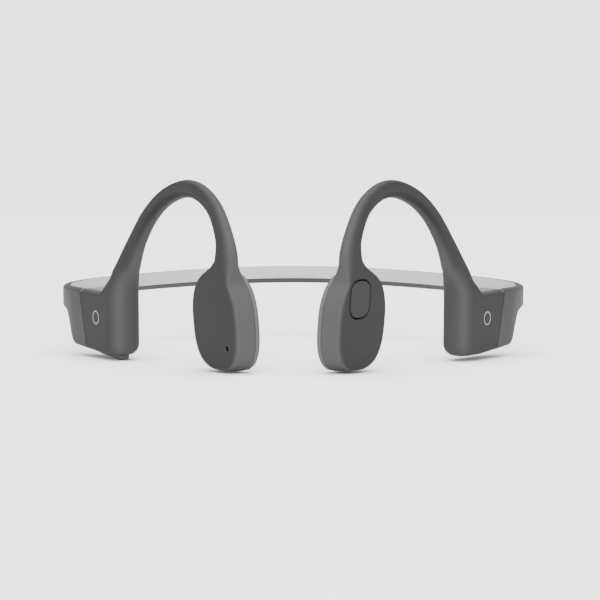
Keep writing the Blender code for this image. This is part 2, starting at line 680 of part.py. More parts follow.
BUTTON = (1.8, 19.3)            # middle, in pod axes
BUTTON_HALF, BUTTON_ROUND = (3.5, 4.65), 2.9
BUTTON_FACE, BUTTON_BACK = 3.5, 1.9
BUTTON_TRAVEL = 0.3


def button_outline(more=0.0):
    a, z = BUTTON
    half_a, half_z = BUTTON_HALF
    return box(a - half_a - more, z - half_z - more, a + half_a + more, z + half_z + more, BUTTON_ROUND + more, 4)


def multifunction_button(sign):
    """Oblong key on the outer face of the left pod, with a post behind it."""
    a, z = BUTTON
    post = box(a - 1.1, z - 1.1, a + 1.1, z + 1.1, 1.0, 4)
    stages = [(post, 1.3), (post, BUTTON_BACK), (button_outline(), BUTTON_BACK), (button_outline(), BUTTON_FACE)]
    rings = [[on_pod(p, q, b) for p, q in outline] for outline, b in stages]
    return loft("multifunction_button", rings, dark_silicone(), side=sign, origin=on_pod(a, z, BUTTON_FACE))


def multifunction_switch(sign):
    a, z = BUTTON
    return slab("multifunction_switch", on_pod, box(a - 1.8, z - 1.1, a + 1.8, z + 1.9, 0.3, 1), -0.2, 0.9,
                black_plastic(), side=sign)


def battery(sign):
    cell = slab("battery_cell", flat, box(7.4, 3.4, 15.0, 14.4, 1.0), -7.7, -3.0, foil(), side=sign)
    board = slab("battery_protection_board", flat, box(6.6, 6.2, 14.2, 11.8, 0.4, 1), -2.6, -1.9,
                 green_board(), side=sign)
    return [cell, board]


# Assembly

def half_frame(name, place):
    empty = bpy.data.objects.new(name, None)
    empty.empty_display_size = 0.01
    empty.location = stand(*place)
    bpy.context.collection.objects.link(empty)
    return empty


def gather(frame):
    """Hangs every object made since the last call on the frame, where it stands."""
    for made in bpy.context.collection.objects:
        if made.parent is None and made.type == "MESH":
            made.parent = frame
            made.location -= frame.location


def side_parts(side):
    sign = SIDES[side]
    pod_shell(side, sign)
    pod_pad(side, sign)
    transducer(side, sign)
    hook_part(f"{side}_ear_hook", HOOK_START + GAP / 2, HOOK_END - GAP / 2, 22, None, dark_silicone(),
              bore=BORE_RADIUS, side=sign)
    hook_part(f"{side}_hook_wire", 1.2, HOOK.length - 0.8, 26, WIRE_RADIUS, copper(), count=6, side=sign)
    housing_shell(side, sign)
    housing_cover(side, sign)
    neckband_end(side, sign)
    neckband_sleeve(side, sign)
    return sign


def main():
    for old in list(bpy.data.objects):
        bpy.data.objects.remove(old, do_unlink=True)

    sign = side_parts("right")
    microphone(sign)
    electronics(sign)
    volume_bezel(sign)
    for name in VOLUME_BUTTONS:
        volume_button(name, sign)
        volume_switch(name, sign)
    band_lead("neckband_spring_wire", SPRING_WIRE_Z, SEAM_TOP + 1.5, titanium())
    band_lead("neckband_cable", CABLE_Z, SEAM_TOP - 4.0, copper())
    gather(half_frame("right_half", (0, 0, 0)))

    sign = side_parts("left")
    multifunction_button(sign)
    multifunction_switch(sign)
    battery(sign)
    gather(half_frame("left_half", HINGE))


main()
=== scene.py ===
"""Looks of the bone conduction headphones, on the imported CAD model.

Lengths are millimetres in the part's drawing until stand() turns them into metres and tips the headset
forward onto its feet. +X is the wearer's left, -Y the front and +Z up. Both arms are shaped as the left
one, and the right one is mirrored.
"""
import json
import math

import bpy
import numpy as np
from mathutils import Matrix


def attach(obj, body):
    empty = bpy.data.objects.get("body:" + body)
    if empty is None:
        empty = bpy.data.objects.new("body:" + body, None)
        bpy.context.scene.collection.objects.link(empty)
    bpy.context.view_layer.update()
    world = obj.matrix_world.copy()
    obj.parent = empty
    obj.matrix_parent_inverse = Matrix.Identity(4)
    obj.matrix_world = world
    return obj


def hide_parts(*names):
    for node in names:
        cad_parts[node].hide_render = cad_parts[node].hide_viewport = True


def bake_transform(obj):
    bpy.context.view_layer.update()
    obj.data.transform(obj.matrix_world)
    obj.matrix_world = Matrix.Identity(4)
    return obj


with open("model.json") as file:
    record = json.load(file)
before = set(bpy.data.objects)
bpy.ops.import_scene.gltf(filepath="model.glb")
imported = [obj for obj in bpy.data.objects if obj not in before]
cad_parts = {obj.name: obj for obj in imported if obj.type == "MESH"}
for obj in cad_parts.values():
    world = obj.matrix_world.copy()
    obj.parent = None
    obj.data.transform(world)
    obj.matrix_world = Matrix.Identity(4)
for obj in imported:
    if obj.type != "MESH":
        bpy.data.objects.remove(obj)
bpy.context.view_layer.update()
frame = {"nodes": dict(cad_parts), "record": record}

# Drawing dimensions in millimetres. Most are the part's. The pods' roundness, the skin's spare width and
# the hook's foot are the skin's own, set against the photograph.
SIDES = {"right": -1, "left": 1}
STAND_TIP = math.radians(2.84)
STAND_LIFT = 1.26
MIDDLE_Y = 26.11

POD_CENTRE = (16.6, -33.2)
POD_TURN = math.radians(47)
POD_LEAN = math.tan(math.radians(6))
POD_FOOT, POD_TOP = 0.4, 26.0
POD_MIDDLE = (POD_FOOT + POD_TOP) / 2
POD_HALF_WIDTH, POD_SHIFT, POD_HALF_DEPTH = 8.98, -0.42, 3.4
POD_ROUND, POD_ROUND_FOOT = 2.33, 2.75      # powers of the pod's oval outline, above and below
FACE_HALF_WIDTH, FACE_SHIFT, FACE_FOOT = 8.69, -0.72, 1.15
POD_ROUND_SPAN = (9, 17)                    # heights between which one outline power gives way to the other
SHELL_SPARE = 0.1                           # how far the pod's skin stands outside its outline
PAD_DEPTH = 1.7
NECK_Z, NECK_RADIUS, NECK_FOOT = 29.0, 3.0, 19
NECK_SHIFT = (1.86, 0.5)
PIECE_GAP = 0.3

ROOT_Z, ROOT_RADIUS, ROOT_MIDDLE, ROOT_LENGTH, ROOT_SLOPE = 21.7, 3.8, (2.1, -4.85), 8.0, 0.31
POD_TO_HOOK, HOUSING_TO_HOOK = (27.8, 30.2), (19.0, 25.0)   # heights over which each becomes the hook
HOOK_LINE = [
    (17.2, -32.6, 21.6, 3.0), (16.45, -33.9, 25.8, 3.0), (15.7, -34.9, NECK_Z, NECK_RADIUS),
    (16.2, -34.15, 34.5, 2.4), (18.7, -31.1, 41.5, 2.15), (22.8, -26.1, 45.7, 2.25),
    (27.3, -20.5, 46.5, 2.35), (32.7, -14.3, 44.0, 2.35), (37.5, -8.85, 39.0, 2.35),
    (41.55, -4.7, 31.7, 2.55), (44.35, -2.1, 24.6, 3.35), (45.2, -1.35, ROOT_Z, ROOT_RADIUS),
    (45.8, -0.75, 17.5, ROOT_RADIUS), (47.9, 2.5, 13.2, ROOT_RADIUS),
]

SLAB_START = (48.1, -5.8)
SLAB_TURN = math.radians(33.8)
SLAB_LENGTH, SLAB_DEPTH = 23.7, 9.5
RIM_Z, CROTCH_RADIUS, FRONT_RADIUS = 17.2, 1.7, 4.3
FOOT_RISE = 0.045
FOOT_Z = {"right": -0.1, "left": -0.1}
SEAM_TOP, SEAM_LEAN = 21.3, 0.26

BEND_RADIUS, BACK_LENGTH, BACK_ROUND, BAND_DIP = 37.0, 60.0, 1.04, 0.7
BAND_DEPTH, BAND_TOP, BAND_FOOT, RIDGE_Z, END_LENGTH = 2.9, 16.75, 11.3, 12.95, 52.0
FOOT_CLIMB = [(24.0, 1.0), (25.8, 2.1), (26.8, 3.8), (27.6, 5.7), (29.4, 8.5), (32.0, 10.1), (37.0, 10.75),
              (45.0, 11.1), (END_LENGTH, BAND_FOOT)]
SPRING_WIRE_Z, CABLE_Z, LEAD_RADIUS = 15.2, 13.7, 0.4

PORT, LIGHT = (10.2, 9.4), (10.2, 13.6)
VOLUME_START, VOLUME_END, VOLUME_HALF_WIDTH, VOLUME_FOOT = 2.3, 15.9, 1.75, -1.3
VOLUME_R = -SLAB_DEPTH / 2
STRIP_GAP, STRIP_ROOM = 0.2, 2.1            # round the strip and above it
VOLUME_BUTTONS = {"volume_up": (3.2, 8.7), "volume_down": (9.7, 14.8)}
KEY_HALF_WIDTH, WINDOW_GAP, WINDOW_TOP = 0.95, 0.18, 0.9
PORT_HALF, PORT_ROUND, LIGHT_RADIUS = (4.45, 2.15), 1.4, 0.9
MICROPHONE, MICROPHONE_FACE, BUTTON = (4.4, 7.0), 3.2, (1.8, 19.3)
MICROPHONE_HALF, MICROPHONE_BACK = (0.6, 0.8), 1.9
BUTTON_HALF, BUTTON_ROUND = (3.5, 4.65), 2.9
BUTTON_FACE, BUTTON_BACK = 3.5, 1.9
MARK, MARK_RADII, MARK_THICK = (10.9, 10.0), (1.9, 1.62), 0.03


def stand(points, side=1):
    """Drawing millimetres to metres, mirrored for the right side."""
    p = np.asarray(points, float)
    c, s = math.cos(STAND_TIP), math.sin(STAND_TIP)
    x, y, z = p[..., 0] * side, p[..., 1], p[..., 2]
    return np.stack([x, y * c - z * s - MIDDLE_Y, y * s + z * c + STAND_LIFT], -1) / 1000


def smooth(low, high, value):
    t = np.clip((value - low) / (high - low), 0, 1)
    return t * t * (3 - 2 * t)


def mix(first, second, t):
    return first + (second - first) * t


# Fields: distances that are negative inside a solid

def meet(a, b, radius):
    """What two solids share, with the edge rounded."""
    outside = np.hypot(np.maximum(a + radius, 0), np.maximum(b + radius, 0))
    return np.minimum(np.maximum(a, b), -radius) + outside


def join(a, b, radius):
    """Two solids together, with the inner corner filleted."""
    inside = np.hypot(np.maximum(radius - a, 0), np.maximum(radius - b, 0))
    return np.maximum(np.minimum(a, b), radius) - inside


def melt(a, b, reach):
    """Two solids together, flowing into each other over a distance."""
    share = np.maximum(reach - np.abs(a - b), 0) / reach
    return np.minimum(a, b) - share * share * reach / 4


def oval_field(u, v, half_u, half_v, power):
    pu, pv = np.abs(u) / half_u, np.abs(v) / half_v
    n = np.maximum((pu**power + pv**power) ** (1 / power), 0.3)
    return (n - 1) / np.hypot((pu / n) ** (power - 1) / half_u, (pv / n) ** (power - 1) / half_v)


def stadium_field(u, v, half_u, half_v, radius):
    """Distance to a rectangle with rounded corners."""
    du, dv = np.abs(u) - half_u + radius, np.abs(v) - half_v + radius
    return np.hypot(np.maximum(du, 0), np.maximum(dv, 0)) + np.minimum(np.maximum(du, dv), 0) - radius


class Line:
    """A smooth curve through points, read by its length. Points may carry a radius as a fourth value."""

    def __init__(self, points, steps=12):
        self.steps = steps
        p = np.array(points, float)
        p = np.vstack([2 * p[0] - p[1], p, 2 * p[-1] - p[-2]])
        t = np.linspace(0, 1, steps, endpoint=False)[:, None]
        spans = []
        for a, b, c, d in zip(p[:-3], p[1:-2], p[2:-1], p[3:]):
            cubic = 2 * b + (c - a) * t + (2 * a - 5 * b + 4 * c - d) * t**2 + (3 * b - a - 3 * c + d) * t**3
            spans.append(cubic / 2)
        self.points = np.vstack(spans + [p[-2:-1]])
        lengths = np.linalg.norm(np.diff(self.points[:, :3], axis=0), axis=1)
        self.reach = np.concatenate([[0], np.cumsum(lengths)])
        self.length = self.reach[-1]

    def at(self, distance):
        return np.stack([np.interp(distance, self.reach, column) for column in self.points.T], -1)

    def heading(self, distance):
        low, high = np.maximum(distance - 0.4, 0), np.minimum(distance + 0.4, self.length)
        step = (self.at(high) - self.at(low))[..., :3]
        return step / np.linalg.norm(step, axis=-1, keepdims=True)


HOOK = Line(HOOK_LINE)
HOOK_FINE = HOOK.at(np.arange(0, HOOK.length, 0.25))
HOOK_COARSE_STEP = 6


def hook_field(p):
    """Distance to the round hook: the nearest coarse point first, then the fine points beside it."""
    coarse = HOOK_FINE[::HOOK_COARSE_STEP]
    reach = np.arange(-HOOK_COARSE_STEP, HOOK_COARSE_STEP + 1)
    out = np.empty(len(p))
    for start in range(0, len(p), 40000):
        block = p[start:start + 40000]
        square = ((block[:, None, :] - coarse[None, :, :3]) ** 2).sum(-1)
        nearby = np.clip(square.argmin(1)[:, None] * HOOK_COARSE_STEP + reach, 0, len(HOOK_FINE) - 1)
        fine = HOOK_FINE[nearby]
        away = np.linalg.norm(block[:, None, :] - fine[..., :3], axis=-1) - fine[..., 3]
        out[start:start + 40000] = away.min(1)
    return out


def pod_axes(p):
    """Pod axes: a from the arch towards the cheekbone, b outwards."""
    dx, dy = p[:, 0] - POD_CENTRE[0], p[:, 1] - POD_CENTRE[1]
    c, s = math.cos(POD_TURN), math.sin(POD_TURN)
    return -(c * dx + s * dy) - (POD_MIDDLE - p[:, 2]) * POD_LEAN, s * dx - c * dy


def in_pod(a, b, z):
    a = a + (POD_MIDDLE - z) * POD_LEAN
    c, s = math.cos(POD_TURN), math.sin(POD_TURN)
    return (POD_CENTRE[0] - c * a + s * b, POD_CENTRE[1] - s * a - c * b, z)


def slab_axes(p):
    """Band axes along the housing: s backwards from its front, r outwards from its outer face."""
    dx, dy = p[:, 0] - SLAB_START[0], p[:, 1] - SLAB_START[1]
    c, s = math.cos(SLAB_TURN), math.sin(SLAB_TURN)
    return s * dx + c * dy, c * dx - s * dy


def pod_field(p):
    a, b = pod_axes(p)
    z = p[:, 2]
    t = np.clip((b + POD_HALF_DEPTH) / (2 * POD_HALF_DEPTH), 0, 1)
    low = mix(POD_FOOT, FACE_FOOT, t)
    power = mix(POD_ROUND_FOOT, POD_ROUND, smooth(*POD_ROUND_SPAN, z))
    outline = oval_field(a - mix(POD_SHIFT, FACE_SHIFT, t), z - (POD_TOP + low) / 2,
                         mix(POD_HALF_WIDTH, FACE_HALF_WIDTH, t) + SHELL_SPARE, (POD_TOP - low) / 2, power)
    off_neck = a - NECK_SHIFT[0] + (POD_MIDDLE - z) * POD_LEAN
    neck = np.maximum(np.abs(off_neck) - NECK_RADIUS, NECK_FOOT - z)
    outline = melt(outline, neck, mix(1.0, 6.5, smooth(2.0, -3.0, off_neck)))
    up, up_back = smooth(22.5, NECK_Z, z), smooth(22.0, 28.5, z)
    crown = 0.0035 * (a + 1) ** 2 + 0.0012 * (z - 15) ** 2
    face = b - mix(POD_HALF_DEPTH - crown, NECK_SHIFT[1] + NECK_RADIUS, up)
    back = mix(-POD_HALF_DEPTH, NECK_SHIFT[1] - NECK_RADIUS, up_back) - b
    front_edge = mix(1.0, 1.8, smooth(2, -6, a))
    body = meet(outline, face, mix(front_edge, NECK_RADIUS - 0.02, up))
    return meet(body, back, mix(0.5, NECK_RADIUS - 0.02, up_back))


def housing_top(s, z):
    """The ledge behind the hook's root, filleted into the root's back."""
    back = ROOT_LENGTH - ROOT_SLOPE * (z - RIM_Z)
    return join(z - RIM_Z, s - back, CROTCH_RADIUS)


def housing_field(s, r, z, foot_z):
    t = smooth(RIM_Z - 2, ROOT_Z + 3, z)
    outer = mix(0, ROOT_MIDDLE[1] + ROOT_RADIUS, t)
    inner = mix(-SLAB_DEPTH, ROOT_MIDDLE[1] - ROOT_RADIUS, t)
    sides = np.abs(r - (outer + inner) / 2) - (outer - inner) / 2
    front = mix(0, ROOT_MIDDLE[0] - ROOT_RADIUS, t) - s
    plan = meet(sides, front, mix(FRONT_RADIUS, ROOT_RADIUS, t))
    top_radius = mix(RIM_RADIUS, ROOT_RADIUS - 0.1, smooth(RIM_Z + 0.3, ROOT_Z, z))
    body = meet(plan, housing_top(s, z), top_radius)
    return meet(body, foot_z + FOOT_RISE * s - z, mix(3.2, 1.0, smooth(1.5, 9, s)))


DECK_FRONT, DECK_EDGE, DECK_Z = 8.1, -2.0, 15.7
PLATE_FRONT, PLATE_EDGE = 4.4, -8.2
LINE_GAP = 0.13                 # half of the dark line between two skins
SEAM_GAP, CORNER_RADIUS, RIM_RADIUS = 0.06, 2.6, 1.3
PLATE_RISE = 1.8                # height of the plate's lower edge above the housing's foot


def seam_s(z):
    return SEAM_TOP - SEAM_LEAN * (RIM_Z - z)


def inlay_field(s, r, z, foot_z):
    """Where the housing's light inner cover lies: a deck behind the hook and a plate towards the neck."""
    deck = np.maximum(np.maximum(r - DECK_EDGE, DECK_Z - z), DECK_FRONT - s)
    plate = np.maximum(np.maximum(r - PLATE_EDGE, foot_z + PLATE_RISE - z), PLATE_FRONT - s)
    return np.minimum(deck, plate)


def dark_corner(s, z):
    """The dark skin's upper rear corner is round where it meets the seam."""
    return meet(housing_top(s, z), s - seam_s(z) + LINE_GAP, CORNER_RADIUS)


def button_pocket(a, b, z):
    outline = stadium_field(a - BUTTON[0], z - BUTTON[1], BUTTON_HALF[0] + PIECE_GAP,
                            BUTTON_HALF[1] + PIECE_GAP, BUTTON_ROUND + PIECE_GAP)
    return np.maximum(outline, BUTTON_BACK - 0.5 - b)


def microphone_hole(a, b, z):
    outline = oval_field(a - MICROPHONE[0], z - MICROPHONE[1], *MICROPHONE_HALF, 2)
    return np.maximum(outline, MICROPHONE_BACK - b)


def arm_field(side):
    foot_z = FOOT_Z[side]

    def field(p):
        z = p[:, 2]
        hook = hook_field(p)
        a, b = pod_axes(p)
        s, r = slab_axes(p)
        pod = mix(pod_field(p), hook, smooth(*POD_TO_HOOK, z))
        housing = mix(housing_field(s, r, z, foot_z), hook, smooth(*HOUSING_TO_HOOK, z))
        arm = np.minimum(pod, housing)
        arm = meet(arm, dark_corner(s, z), 0.35)
        arm = meet(arm, LINE_GAP - inlay_field(s, r, z, foot_z), 0.45)
        if side == "left":
            return meet(arm, -button_pocket(a, b, z), 0.22)
        middle, half = (VOLUME_START + VOLUME_END) / 2, (VOLUME_END - VOLUME_START) / 2
        strip = stadium_field(s - middle, r - VOLUME_R, half + STRIP_GAP, VOLUME_HALF_WIDTH + STRIP_GAP,
                              VOLUME_HALF_WIDTH)
        pocket = np.maximum(strip, z - FOOT_RISE * s - STRIP_ROOM)
        return meet(np.maximum(arm, -microphone_hole(a, b, z)), -pocket, 0.2)

    return field


def cover_field(side):
    foot_z = FOOT_Z[side]

    def field(p):
        z = p[:, 2]
        s, r = slab_axes(p)
        body = housing_field(s, r, z, foot_z)
        light = meet(body, inlay_field(s, r, z, foot_z) + LINE_GAP, 0.25)
        filler = np.maximum(body, 0.2 - dark_corner(s, z))
        cover = np.maximum(np.minimum(light, filler), np.maximum(s - seam_s(z) + SEAM_GAP, z - RIM_Z))
        if side == "right":
            port = stadium_field(s - PORT[0], z - PORT[1], *PORT_HALF, PORT_ROUND)
            light_hole = np.hypot(s - LIGHT[0], z - LIGHT[1]) - LIGHT_RADIUS
            cover = np.maximum(cover, -np.minimum(port, light_hole))
        return cover

    return field


# Tones, mostly painted light and shade: 0 leaves a finish as it is, and -1 is black

# Painted shade by which way a surface faces: outer faces, the hook's top and underside, the moulding's sides,
# grooves and holes. Upward ledges get less of it, which paints light on them.
OUTER_PAINTED_SHADE, TOP_PAINTED_SHADE = -0.56, -0.3
MOULD_PAINTED_SHADE, LEDGE_PAINTED_SHADE = -0.91, -0.68
# The pad and the key take an even darker tone, their own colour. The hole tone is painted shade.
PAD_TONE, BUTTON_TONE, HOLE_PAINTED_SHADE = -0.78, -0.5, -0.93
UNDER_PAINTED_SHADE, DARKEST_PAINTED_SHADE = -0.35, -0.7
# On the housing, painted shade is least at its front, a painted highlight, and grows towards either side
FRONT_PAINTED_SHADE, FACE_SHADE_FALL, INNER_SHADE_FALL = -0.15, -0.52, -0.3      # housing: its front, then falls to either side


def arm_painted_shade(points, outward, side):
    """Painted shade on the skin, by which way each point faces: darker on its outer faces, along and
    under the hook, in the groove round the button and on both sides of the housing, whose front keeps a
    painted highlight.
    """
    # painted shade on faces turned outwards from the pod
    away = outward @ np.array([math.sin(POD_TURN), -math.cos(POD_TURN), 0])
    tone = OUTER_PAINTED_SHADE * smooth(0.2, 0.9, away)
    # painted shade on the hook's upper side
    tone = tone + TOP_PAINTED_SHADE * smooth(0.3, 0.95, outward[:, 2]) * smooth(24, 34, points[:, 2])
    # painted shade on the hook's underside
    tone = tone + UNDER_PAINTED_SHADE * smooth(0.1, 0.8, -outward[:, 2]) * smooth(21, 28, points[:, 2])
    tone = np.maximum(tone, DARKEST_PAINTED_SHADE)
    across = outward[:, 0]
    # painted shade on the housing's sides, with a painted highlight down its front
    housing = FRONT_PAINTED_SHADE + FACE_SHADE_FALL * np.maximum(across, 0) + INNER_SHADE_FALL * np.maximum(-across, 0)
    tone = mix(tone, housing, smooth(36, 42, points[:, 0]) * smooth(27, 19, points[:, 2]))
    if side == "left":
        a, b = pod_axes(points)
        # painted shade in the groove round the button
        groove = smooth(0.12, -0.05, button_pocket(a, b, points[:, 2])) * smooth(30, 25, points[:, 2])
        tone = mix(tone, HOLE_PAINTED_SHADE, groove * smooth(0, 1, b))
    return tone


def cover_painted_shade(outward):
    """Painted light and shade on the inner cover: palest on its upper side, which faces up into the light,
    and darker on its sides and underside.
    """
    return MOULD_PAINTED_SHADE + (LEDGE_PAINTED_SHADE - MOULD_PAINTED_SHADE) * smooth(0.2, 0.9, outward[:, 2])


# Meshes

EDGES = [(0, 1), (2, 3), (4, 5), (6, 7), (0, 2), (1, 3), (4, 6), (5, 7), (0, 4), (1, 5), (2, 6), (3, 7)]


def surface(field, low, high, step, block=6):
    """Points and four-sided faces of the surface where a field is zero, found on a grid of cubes."""
    low = np.array(low, float)
    blocks = np.ceil((np.array(high) - low) / (step * block)).astype(int)
    count = blocks * block + 1
    middles = np.stack(np.meshgrid(*[np.arange(n) + 0.5 for n in blocks], indexing="ij"), -1)
    middles = middles * step * block + low
    rough = field(middles.reshape(-1, 3)).reshape(blocks)
    near = np.abs(rough) < step * block * 1.15
    values = np.ones(count)
    wanted = np.zeros(count, bool)
    for i, j, k in np.argwhere(near | (rough < 0)):
        place = tuple(slice(n * block, (n + 1) * block + 1) for n in (i, j, k))
        if near[i, j, k]:
            wanted[place] = True
        else:
            values[place] = -1
    index = np.argwhere(wanted)
    values[wanted] = field(index * step + low)

    inside = values < 0
    size = count - 1
    offsets = np.array([(i, j, k) for i in (0, 1) for j in (0, 1) for k in (0, 1)])
    total = sum(inside[i:i + size[0], j:j + size[1], k:k + size[2]].astype(np.int8) for i, j, k in offsets)
    cells = np.argwhere((total > 0) & (total < 8))
    number = np.full(size, -1)
    number[tuple(cells.T)] = np.arange(len(cells))
    at = [values[tuple((cells + offset).T)] for offset in offsets]
    place, hits = np.zeros((len(cells), 3)), np.zeros(len(cells))
    for first, second in EDGES:
        a, b = at[first], at[second]
        crossing = (a < 0) != (b < 0)
        share = np.where(crossing, a / np.where(crossing, a - b, 1), 0)[:, None]
        where = offsets[first] + share * (offsets[second] - offsets[first])
        place += where * crossing[:, None]
        hits += crossing
    points = (cells + place / hits[:, None]) * step + low

    faces = []
    for axis in range(3):
        low_end = np.take(inside, range(count[axis] - 1), axis)
        high_end = np.take(inside, range(1, count[axis]), axis)
        found = np.argwhere(low_end != high_end)
        one, two = [(1, 2), (2, 0), (0, 1)][axis]
        found = found[(found[:, one] > 0) & (found[:, two] > 0)
                      & (found[:, one] < size[one]) & (found[:, two] < size[two])]
        back_one, back_two = np.eye(3, dtype=int)[one], np.eye(3, dtype=int)[two]
        quad = np.stack([number[tuple((found - shift).T)]
                         for shift in (back_one + back_two, back_two, 0 * back_one, back_one)], -1)
        outward = low_end[tuple(found.T)]
        faces.append(np.where(outward[:, None], quad, quad[:, ::-1]))
    faces = np.vstack(faces)
    points, slope = settle(points, faces, field, step)
    return points, faces, slope


def settle(points, faces, field, step):
    """Evens the points out and lays them on the surface. Returns them with their outward directions."""
    ends = np.vstack([faces[:, [i, (i + 1) % 4]] for i in range(4)])
    tiny = step * 0.05
    for turn in range(4):
        if turn in (1, 2):
            total = np.zeros_like(points)
            number = np.bincount(ends.ravel(), minlength=len(points))[:, None]
            for axis in range(3):
                total[:, axis] = (np.bincount(ends[:, 0], points[ends[:, 1], axis], len(points))
                                  + np.bincount(ends[:, 1], points[ends[:, 0], axis], len(points)))
            points = mix(points, total / number, 0.5)
        value = field(points)
        slope = np.stack([(field(points + tiny * axis) - field(points - tiny * axis)) / (2 * tiny)
                          for axis in np.eye(3)], -1)
        push = value[:, None] * slope / np.maximum((slope**2).sum(-1, keepdims=True), 0.2)
        length = np.linalg.norm(push, axis=-1, keepdims=True)
        points = points - push * np.minimum(1, 0.6 * step / np.maximum(length, 1e-9))
    return points, slope / np.maximum(np.linalg.norm(slope, axis=-1, keepdims=True), 1e-9)


def piece(name, points, faces, side=1, sharp=35, tone=None):
    """An object from points in the drawing, smooth but for edges sharper than an angle. Its tone, a value at
    each point, lightens or darkens its finish: painted light and shade on the skins."""
    data = bpy.data.meshes.new(name)
    world = stand(points, side)
    if side < 0:
        faces = [face[::-1] for face in faces]
    data.from_pydata(world.tolist(), [], [list(map(int, face)) for face in faces])
    data.validate()
    data.shade_smooth()
    if sharp:
        data.set_sharp_from_angle(angle=math.radians(sharp))
    if tone is not None:
        layer = data.attributes.new("tone", "FLOAT", "POINT")
        layer.data.foreach_set("value", np.asarray(tone, np.float32))
    made = bpy.data.objects.new(name, data)
    bpy.context.scene.collection.objects.link(made)
    return made


def loft(name, rings, side=1, sharp=35, ends=True, tone=None):
    """A body through rings of points, closed at both ends by fans. Tone is given per point of each ring."""
    rings = [np.array(ring, float) for ring in rings]
    count, layers = len(rings[0]), len(rings)
    points = np.vstack(rings)
    faces = []
    for layer in range(layers - 1):
        for i in range(count):
            j, low, high = (i + 1) % count, layer * count, (layer + 1) * count
            faces.append((low + i, low + j, high + j, high + i))
    if ends:
        points = np.vstack([points, rings[0].mean(0), rings[-1].mean(0)])
        for i in range(count):
            j, top = (i + 1) % count, (layers - 1) * count
            faces.append((j, i, layers * count))
            faces.append((top + i, top + j, layers * count + 1))
    volume = 0.0
    for face in faces:
        for k in range(1, len(face) - 1):
            a, b, c = points[face[0]], points[face[k]], points[face[k + 1]]
            volume += a @ np.cross(b, c)
    if volume < 0:
        faces = [face[::-1] for face in faces]
    if tone is not None:
        tone = np.array(tone, float)
        fans = [tone[0].mean(), tone[-1].mean()] if ends else []
        tone = np.concatenate([tone.ravel(), fans])
    return piece(name, points, faces, side, sharp, tone)


# Outlines in two dimensions

def oval(half_p, half_q, centre=(0, 0), power=None, count=96):
    angle = np.linspace(0, 2 * math.pi, count, endpoint=False)
    c, s = np.cos(angle), np.sin(angle)
    if power is None:
        power = mix(POD_ROUND_FOOT, POD_ROUND, smooth(-0.35, 0.3, s))
    grow = (np.abs(c) ** power + np.abs(s) ** power) ** (-1 / power)
    return np.stack([centre[0] + half_p * c * grow, centre[1] + half_q * s * grow], -1)


def rounded(corners, radii, arc=6):
    """The points round a convex outline with its corners rounded; arc is the steps of each corner."""
    outline = []
    c = [np.array(corner, float) for corner in corners]
    for i, radius in enumerate(radii):
        before, here, after = c[i - 1], c[i], c[(i + 1) % len(c)]
        back, on = before - here, after - here
        room = 0.495 * min(np.linalg.norm(back), np.linalg.norm(on))
        back, on = back / np.linalg.norm(back), on / np.linalg.norm(on)
        half = math.acos(max(-1, min(1, float(back @ on)))) / 2
        reach = min(radius / math.tan(half), room)
        radius = reach * math.tan(half)
        middle = here + (back + on) / np.linalg.norm(back + on) * radius / math.sin(half)
        first, last = here + back * reach - middle, here + on * reach - middle
        angle = math.pi - 2 * half
        for t in np.linspace(0, 1, arc + 1):
            mixed = (first * math.sin((1 - t) * angle) + last * math.sin(t * angle)) / math.sin(angle)
            outline.append(middle + mixed)
    return np.array(outline)


def stadium(centre, half_p, half_q, radius, arc=12):
    (p, q), a, b = centre, half_p, half_q
    return rounded([(p + a, q + b), (p - a, q + b), (p - a, q - b), (p + a, q - b)], [radius] * 4, arc)


def on_pod(outline, b):
    return np.stack(in_pod(outline[:, 0], b, outline[:, 1]), -1)


# The neckband

def band_outline():
    """Plan of the outer surface: the slab, a bend and a quarter of an oval to the middle of the back."""
    x, y = SLAB_START
    side, back = math.sin(SLAB_TURN), math.cos(SLAB_TURN)
    points = [(x + side * s, y + back * s, 0) for s in np.linspace(0, SLAB_LENGTH, 9)]
    x, y, _ = points[-1]
    for turn in np.linspace(0, SLAB_TURN, 9)[1:]:
        left = SLAB_TURN - turn
        across, along = BEND_RADIUS * (math.cos(left) - back), BEND_RADIUS * (side - math.sin(left))
        points.append((x + across, y + along, 0))
    x, y, _ = points[-1]
    for angle in np.linspace(0, math.pi / 2, 33)[1:]:
        along = BACK_LENGTH * math.sin(angle) ** BACK_ROUND
        points.append((x * math.cos(angle) ** BACK_ROUND, y + along, 0))
    return Line(points, steps=6)


BAND = band_outline()


def on_band(s, r, z):
    """Band axes: s along the outer surface from the slab's front, r outwards from it, z up."""
    x, y, _ = BAND.at(max(s, 0))
    if s < 0:
        x, y = x + s * math.sin(SLAB_TURN), y + s * math.cos(SLAB_TURN)
    dx, dy, _ = BAND.heading(min(max(s, 0.4), BAND.length))
    if s > BAND.length - 0.4:
        dx, dy = -1, 0
    return (x + dy * r, y - dx * r, z)


def end_depth(s):
    return mix(SLAB_DEPTH, BAND_DEPTH, smooth(SLAB_LENGTH - 1, END_LENGTH - 8, s))


def dip(s):
    return BAND_DIP * math.sin(math.pi * min(max((s - 26) / (BAND.length - 26), 0), 1)) ** 2


CLIMB = Line([(0, 0.6, 0), (20, 1.3, 0)] + [(place, height, 0) for place, height in FOOT_CLIMB])
CLIMB_POINTS = CLIMB.at(np.linspace(0, CLIMB.length, 400))


def foot_z(side, s):
    slab_foot = FOOT_Z[side] + FOOT_RISE * s
    climb = float(np.interp(s, CLIMB_POINTS[:, 0], CLIMB_POINTS[:, 1]))
    return mix(slab_foot, climb, float(smooth(20.0, 28.0, s)))


